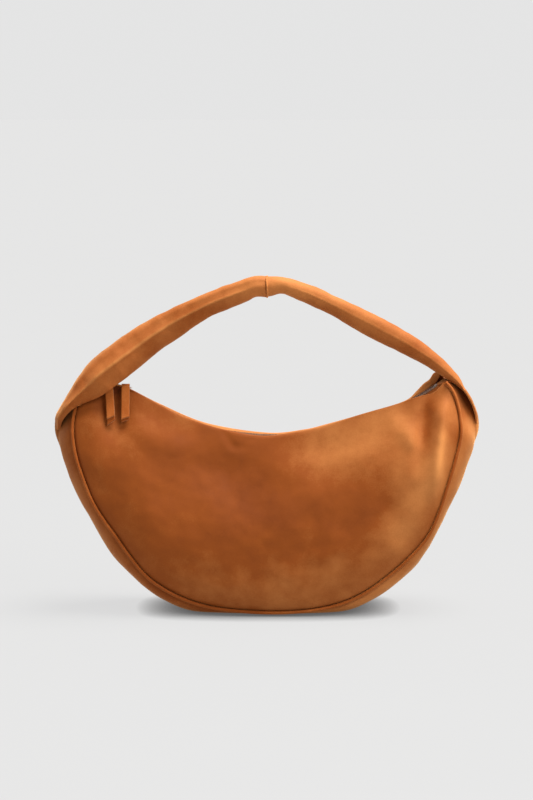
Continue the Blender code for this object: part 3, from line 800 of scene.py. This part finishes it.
def add_strap():
    """Two strap halves, from the bag's corners to the middle."""
    for name, side in SIDES.items():
        grid = strap_grid(side)
        skin = leather_sheet("strap_" + name + "_skin", grid, LEATHER_SKIN, STRAP_LEATHER, side)
        z = vertex_array(skin)[:, 2]
        tone_and_painted_light = STRAP_TONE_AND_PAINTED_LIGHT[side] + TOP_PAINTED_LIGHT * smooth((z - TOP_PAINTED_LIGHT_FROM) / TOP_PAINTED_LIGHT_OVER)
        store_tone_and_painted_light(skin, tone_and_painted_light + both_sides(crease_highlight(side)))
        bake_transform(skin)
        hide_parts("strap_" + name)


def add_strap_seam():
    """Raised seam round the middle of the strap, where its two halves are joined."""
    angles = np.linspace(0, 2 * math.pi, RING_STEPS + 1)
    points = [(RING_X + RING_WEAVE * math.sin(2 * a), RING_HALF_DEPTH * math.sin(a),
               RING_Z + RING_HALF_HEIGHT * math.cos(a)) for a in angles[:-1]]
    points.append(points[0])
    seam = tube("strap_seam", points, RING_R, RING_SIDES, LEATHER_PIPING)
    store_tone_and_painted_light(seam, RING_HIGHLIGHT)
    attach(seam, "strap")


# Zip ------------

# Small blocks: size along, across and above the zip, and bevel
TOOTH_ROOT = ((0.0012, 0.0026, 0.0020), 0.0003)
TOOTH_HEAD = ((0.0015, 0.0013, 0.0015), 0.0003)
STOP = ((0.0042, 0.0074, 0.0034), 0.0009)
STITCH = ((0.0026, 0.0005, 0.0005), 0.00015)
PLATE = ((0.0102, 0.0084, 0.0011), 0.0005)
FLANGE = ((0.0080, 0.0009, 0.0013), 0.0003)
POST = ((0.0022, 0.0006, 0.0040), 0.0002)
LUG = ((0.0012, 0.0042, 0.0042), 0.0005)
# Places of a slider's blocks on the zip
SLIDER_BLOCKS = (((0, 0, 0.0021), PLATE), ((0, 0, -0.0021), PLATE), ((0, 0.0037, 0.0012), FLANGE),
                 ((0, -0.0037, 0.0012), FLANGE), ((0.0040, 0, 0), POST), ((0, 0, 0.0044), LUG))
TOOTH_PITCH, ROOT_OUT, HEAD_OUT = 0.0026, 0.0024, 0.0006
STOP_PAST_TEETH = 0.0032
TAPE_INNER, TAPE_OUTER, TAPE_PAST_TEETH = 0.0030, 0.0104, 0.004
TAPE_LIFT, TAPE_BEAD = 0.0004, 0.0005       # height of the tape, and of the bead along its teeth
STITCH_PITCH, STITCH_FROM, STITCH_OUT, STITCH_LIFT = 0.0036, 0.002, 0.0082, 0.0015
# Patches beyond the zip's ends: half width at the corner, how far it narrows at the zip,
# height of the arch, and where they start and end on the way from the zip to the corner
PATCH_PAST_TEETH, PATCH_LIFT = 0.0052, 0.0006
PATCH_HALF, PATCH_NARROWING, PATCH_CROWN = 0.0128, 0.0030, 0.0012
PATCH_FROM, PATCH_TO, PATCH_ROWS, PATCH_HALF_COLS = -0.15, 2.2, 12, 6
PATCH_NAP = -0.05
EYE_R, EYE_WIRE_R, EYE_STEPS = 0.0019, 0.0006, 24
LINK_HALF, LINK_WIRE_R, LINK_STEPS = 0.0040, 0.0007, 96
LINK_CORNER = (0.16, 0.08, 0.03)    # shares of a side that round the wire's corners
PULL_SHIFT = {"left": 0.0052, "right": -0.0016}     # how far each pull hangs to the right


def block(size, bevel):
    """Vertices and faces of a box with bevelled edges, centred on the origin."""
    bm = bmesh.new()
    bmesh.ops.create_cube(bm, size=1.0)
    bmesh.ops.scale(bm, vec=size, verts=bm.verts)
    bmesh.ops.bevel(bm, geom=bm.edges, offset=bevel, segments=2, affect="EDGES", profile=0.5)
    bm.verts.index_update()
    vertices = [v.co.copy() for v in bm.verts]
    faces = [tuple(v.index for v in f.verts) for f in bm.faces]
    bm.free()
    return vertices, faces


def zip_matrix(s):
    """Frame on the zip's line: X along it, Z across it upwards."""
    return Matrix.Translation(zip_point(s)) @ Matrix.Rotation(-zip_heading(s), 4, "Y")


def join_blocks(name, placed, mat, smooth_shade=False):
    """One object from (matrix, vertices, faces) pieces."""
    vertices, faces = [], []
    for matrix, block_vertices, block_faces in placed:
        start = len(vertices)
        vertices += [matrix @ v for v in block_vertices]
        faces += [tuple(start + i for i in f) for f in block_faces]
    return mesh_object(name, vertices, faces, mat, smooth_shade)


def teeth(name, facing, shift):
    """Row of metal teeth whose heads reach between those of the other row."""
    root, head = block(*TOOTH_ROOT), block(*TOOTH_HEAD)
    placed = []
    count = int((TEETH_TO - TEETH_FROM) / TOOTH_PITCH)
    for i in range(count):
        s = TEETH_FROM + (i + 0.5 + shift) * TOOTH_PITCH
        here = zip_matrix(s)
        placed.append((here @ Matrix.Translation((0, facing * ROOT_OUT, 0)), *root))
        placed.append((here @ Matrix.Translation((0, facing * HEAD_OUT, 0)), *head))
    return join_blocks(name, placed, TEETH_METAL)


def tape(name, facing):
    """Woven tape beside one row of teeth, with a bead along them."""
    places = np.linspace(TEETH_FROM - TAPE_PAST_TEETH, TEETH_TO + TAPE_PAST_TEETH, 170)
    across = np.linspace(TAPE_INNER, TAPE_OUTER, 6)
    grid = np.array([[zip_point(s, TAPE_LIFT + TAPE_BEAD * (k == 1), facing * y)
                      for k, y in enumerate(across)] for s in places])
    return leather_sheet(name, grid, TAPE, TAPE_CLOTH, facing)


def ride_mouth(obj, facing):
    """A piece of the zip rides on the bag at the front; at the back its placement is baked into its mesh.
    """
    if facing > 0:
        follow_back_wall(obj, open_share(vertex_array(obj)[:, 0]))
    else:
        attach(obj, "bag")


def add_zip():
    """Teeth and tape of both halves, and the end stops."""
    for row, facing, shift in (("front", -1, 0.0), ("back", 1, 0.5)):
        metal = teeth("zip_teeth_" + row + "_detail", facing, shift)
        cloth = tape("zip_tape_" + row + "_detail", facing)
        for piece, prefix, slot in ((metal, "zip_teeth_", "zip_metal"),
                                    (cloth, "zip_tape_", "zip_tape")):
            ride_mouth(piece, facing)
            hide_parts(prefix + row)
    for name, end, side in (("left", TEETH_FROM, -1), ("right", TEETH_TO, 1)):
        here = zip_matrix(end + side * STOP_PAST_TEETH)
        stop = join_blocks("zip_stop_" + name + "_detail", [(here, *block(*STOP))], METAL, True)
        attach(stop, "bag")
        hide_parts("zip_stop_" + name)


def add_mouth_ends():
    """Leather patches that close the mouth between the zip's ends and the bag's corners."""
    for name, side, end, corner in (("left", -1, TEETH_FROM, SEAM_LEFT[0]),
                                    ("right", 1, TEETH_TO, SEAM_RIGHT[-1])):
        start = zip_point(end + side * PATCH_PAST_TEETH, PATCH_LIFT)
        grid = []
        for f in np.linspace(PATCH_FROM, PATCH_TO, PATCH_ROWS):
            x = start.x + (corner[0] - start.x) * f
            z = start.z + (corner[1] - start.z) * min(f, 1.0)
            half = PATCH_HALF - PATCH_NARROWING * abs(f - 1)
            across = np.arange(-PATCH_HALF_COLS, PATCH_HALF_COLS + 1) / PATCH_HALF_COLS
            grid.append([(x, half * a, z + PATCH_CROWN * math.cos(math.pi / 2 * a)) for a in across])
        patch = leather_sheet("mouth_end_" + name, np.array(grid), LEATHER_SKIN, PATCH_LEATHER, -side)
        store_tone_and_painted_light(patch, PATCH_NAP)
        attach(patch, "bag")


def add_zip_stitches():
    """Thread that sews each zip tape to the leather."""
    stitch = block(*STITCH)
    places = np.arange(TEETH_FROM + STITCH_FROM, TEETH_TO, STITCH_PITCH)
    for row, facing in FACINGS.items():
        at = Matrix.Translation((0, facing * STITCH_OUT, STITCH_LIFT))
        placed = [(zip_matrix(s) @ at, *stitch) for s in places]
        thread = join_blocks("zip_stitches_" + row, placed, THREAD)
        ride_mouth(thread, facing)


def add_sliders():
    """Two sliders, each with an eye on its lug."""
    for name, place in SLIDER_PLACES.items():
        here = zip_matrix(place)
        placed = [(here @ Matrix.Translation(at), *block(*shape)) for at, shape in SLIDER_BLOCKS]
        body = join_blocks("slider_" + name + "_detail", placed, METAL, True)
        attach(body, "zip_slider_" + name)
        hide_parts("slider_" + name)
        centre = here @ Vector((0, 0, LUG_HEIGHT))
        eye = ring_eye("slider_" + name + "_eye", centre, zip_heading(place))
        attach(eye, "zip_slider_" + name)


def ring_eye(name, centre, heading):
    """Round eye on top of a slider that holds the pull's wire."""
    turn = Matrix.Rotation(-heading, 3, "Y")
    angles = [2 * math.pi * i / EYE_STEPS for i in range(EYE_STEPS + 1)]
    points = [centre + turn @ Vector((0, math.cos(a), math.sin(a))) * EYE_R for a in angles]
    return tube(name, points, EYE_WIRE_R, 8, METAL)


def link_outline():
    """Closed loop of a link with rounded corners: across it, and away from the slider."""
    corners = ((-LINK_HALF, 0.0), (LINK_HALF, 0.0), (LINK_HALF, LINK_LENGTH), (-LINK_HALF, LINK_LENGTH))
    points = []
    for k, (x, d) in enumerate(corners):
        before, after = corners[k - 1], corners[(k + 1) % 4]
        for (nx, nd), shares in ((before, LINK_CORNER), (after, LINK_CORNER[::-1])):
            points += [(x + (nx - x) * f, d + (nd - d) * f) for f in shares]
    return points + points[:1]


def add_links():
    """Wire loops between the sliders and the tabs."""
    for name, place in SLIDER_PLACES.items():
        lug = zip_point(place, LUG_HEIGHT)
        lean = PULL_SHIFT[name] / LINK_LENGTH
        route = [tuple(lug + Vector((x + lean * d, 0, 0)) + LINK_WAY * d) for x, d in link_outline()]
        link = tube("pull_link_" + name + "_detail", curve(route, LINK_STEPS), LINK_WIRE_R, 10, METAL)
        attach(link, "link_" + name)
        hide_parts("pull_link_" + name)


# Pull tabs ------------

TAB_HALF, TAB_LOOP_R = 0.0045, 0.0021
TAB_ROWS, TAB_COLS, LOOP_ROWS = 26, 8, 16
TAB_HANG = math.radians(17)
TAB_LEAN = {"left": math.radians(-4), "right": 0.0}
# Length of each layer, and how much longer it is at its right side
TAB_CUTS = {"left": {"front": (0.0425, -0.0034), "back": (0.0490, -0.0052)},
            "right": {"front": (0.0375, -0.0030), "back": (0.0405, -0.0030)}}
# Where each layer leaves the loop, where it settles and how far it bows, all along Y
TAB_LAYERS = {"front": (-0.0021, -0.0021, 0.0008), "back": (0.0034, -0.0004, 0.0006)}
TAB_SETTLES = 0.006         # how far below the bar
TAB_NAP = {"front": 0.05, "back": -0.10, "loop": 0.05}


def tab_layer(length, slant, top, offset, bend):
    """Grid of one layer in the tab's own frame: X across, down from the bar along -Z."""
    rows = []
    for i in range(TAB_ROWS + 1):
        row = []
        for j in range(TAB_COLS + 1):
            x = TAB_HALF * (2 * j / TAB_COLS - 1)
            down = (length + slant * j / TAB_COLS) * i / TAB_ROWS
            y = offset + (top - offset) * (1 - smooth(down / TAB_SETTLES))
            row.append((x, y + bend * math.sin(math.pi * i / TAB_ROWS), -down))
        rows.append(row)
    return np.array(rows)


def tab_loop():
    """Fold of the tab round the link's bar."""
    rows = []
    for a in np.linspace(0, math.pi, LOOP_ROWS + 1):
        y, z = -TAB_LOOP_R * math.cos(a), TAB_LOOP_R * math.sin(a)
        rows.append([(TAB_HALF * (2 * j / TAB_COLS - 1), y, z) for j in range(TAB_COLS + 1)])
    return np.array(rows)


def add_tabs():
    """Leather pulls: a strip folded round each link's bar, with raw cut edges."""
    for name, place in SLIDER_PLACES.items():
        bar = zip_point(place, LUG_HEIGHT) + LINK_WAY * LINK_LENGTH
        bar.x += PULL_SHIFT[name]
        hang = (Matrix.Translation(bar) @ Matrix.Rotation(TAB_LEAN[name], 4, "Y")
                @ Matrix.Rotation(-TAB_HANG, 4, "X"))
        grids = {part: tab_layer(*TAB_CUTS[name][part], *TAB_LAYERS[part]) for part in TAB_LAYERS}
        grids["loop"] = tab_loop()
        for part, grid in grids.items():
            piece = leather_sheet("pull_tab_" + name + "_" + part, grid, LEATHER_PULL, TAB_LEATHER,
                                  -1 if part == "loop" else 1)
            mark_cut_edges(piece, grid.shape[0] * grid.shape[1])
            piece.data.transform(hang)
            store_tone_and_painted_light(piece, TAB_NAP[part])
            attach(piece, "tab_" + name)
            if part == "front":
                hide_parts("pull_tab_" + name)


def mark_cut_edges(obj, layer_size):
    """Gives the side faces of a sheet the raw cut edge's material."""
    obj.data.materials.append(CUT_EDGE)
    for face in obj.data.polygons:
        sides = {v < layer_size for v in face.vertices}
        face.material_index = 1 if len(sides) == 2 else 0


# Studio ------------

FLOOR_TONE, FLOOR_GLOW = 0.05, 0.672
CONTACT_REACH = 0.028       # how far the soft contact shadow spreads
BACKGROUND_TONE, FRONT_TONE = 0.78, 0.12
KEY_STRENGTH, SIDE_POWER = 5.9, 24.0
LIGHT_COLOUR = (1.0, 0.985, 0.96)
CAMERA_TILT, CAMERA_DISTANCE, AIM_HEIGHT = math.radians(8), 2.6, 0.2385
CAMERA_LENS, CAMERA_SENSOR = 103.54, 36.0


def add_floor():
    """Pale paper floor, lit from within so that only the contact shadow shows."""
    bpy.ops.mesh.primitive_plane_add(size=60.0)
    floor = bpy.context.object
    floor.name = "studio_floor"
    n = Nodes("studio_paper")
    fibres = n.noise(6.0, 3.0, 0.5)
    low, high = FLOOR_TONE * 0.99, FLOOR_TONE * 1.01
    n.feed(n.ramp(fibres, ((0.3, (low,) * 3), (0.7, (high,) * 3))), "Base Color")
    contact = n.add("ShaderNodeAmbientOcclusion", samples=8)
    contact.inputs["Distance"].default_value = CONTACT_REACH
    glow = n.ramp(contact.outputs["AO"], ((0.05, (0.10,) * 3), (1.0, (FLOOR_GLOW,) * 3)))
    n.feed(glow, "Emission Color")
    n.set(Roughness=1.0, Specular_IOR_Level=0.0, Emission_Strength=1.0)
    floor.data.materials.append(n.material)


def add_world():
    """Even grey studio, darker on the camera's side."""
    world = bpy.data.worlds.new("studio")
    bpy.context.scene.world = world
    world.use_nodes = True
    tree = world.node_tree
    background = tree.nodes["Background"]
    coords = tree.nodes.new("ShaderNodeTexCoord")
    split = tree.nodes.new("ShaderNodeSeparateXYZ")
    spread = tree.nodes.new("ShaderNodeMapRange")
    spread.inputs["From Min"].default_value = -0.55
    spread.inputs["From Max"].default_value = 0.05
    spread.inputs["To Min"].default_value = FRONT_TONE
    spread.inputs["To Max"].default_value = BACKGROUND_TONE
    spread.interpolation_type = "SMOOTHSTEP"
    tree.links.new(coords.outputs["Generated"], split.inputs[0])
    tree.links.new(split.outputs["Y"], spread.inputs["Value"])
    tree.links.new(spread.outputs["Result"], background.inputs["Color"])


def add_light(name, kind, energy, place, aim, **settings):
    """Light at a place, turned to an aim."""
    light = bpy.data.lights.new(name, kind)
    light.energy = energy
    light.color = LIGHT_COLOUR
    for key, value in settings.items():
        setattr(light, key, value)
    holder = bpy.data.objects.new(name, light)
    holder.location = place
    holder.rotation_euler = (Vector(aim) - Vector(place)).to_track_quat("-Z", "Y").to_euler()
    bpy.context.collection.objects.link(holder)


def add_lights():
    """A wide soft key from above and a large softbox high on the right."""
    add_light("key", "SUN", KEY_STRENGTH, (0.55, 0.05, 2.0), (0, 0, 0), angle=math.radians(35))
    add_light("side_softbox", "AREA", SIDE_POWER, (1.2, -1.5, 1.7), (0.1, 0, 0.2),
              shape="DISK", size=1.1)


def add_camera():
    """Camera in front of the bag, looking a little down."""
    camera = bpy.data.cameras.new("camera")
    camera.lens = CAMERA_LENS
    camera.sensor_width = camera.sensor_height = CAMERA_SENSOR
    camera.sensor_fit = "VERTICAL"
    holder = bpy.data.objects.new("camera", camera)
    holder.location = (0, -CAMERA_DISTANCE * math.cos(CAMERA_TILT),
                       AIM_HEIGHT + CAMERA_DISTANCE * math.sin(CAMERA_TILT))
    holder.rotation_euler = (math.pi / 2 - CAMERA_TILT, 0, 0)
    bpy.context.collection.objects.link(holder)
    bpy.context.scene.camera = holder
    bpy.context.scene.view_settings.view_transform = "Standard"


add_panels()
add_panel_linings()
add_gusset()
add_piping()
add_strap()
add_strap_seam()
add_zip()
add_mouth_ends()
add_zip_stitches()
add_sliders()
add_links()
add_tabs()
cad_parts["strap_core"].material_slots[0].material = FILLER
add_floor()
add_world()
add_lights()
add_camera()
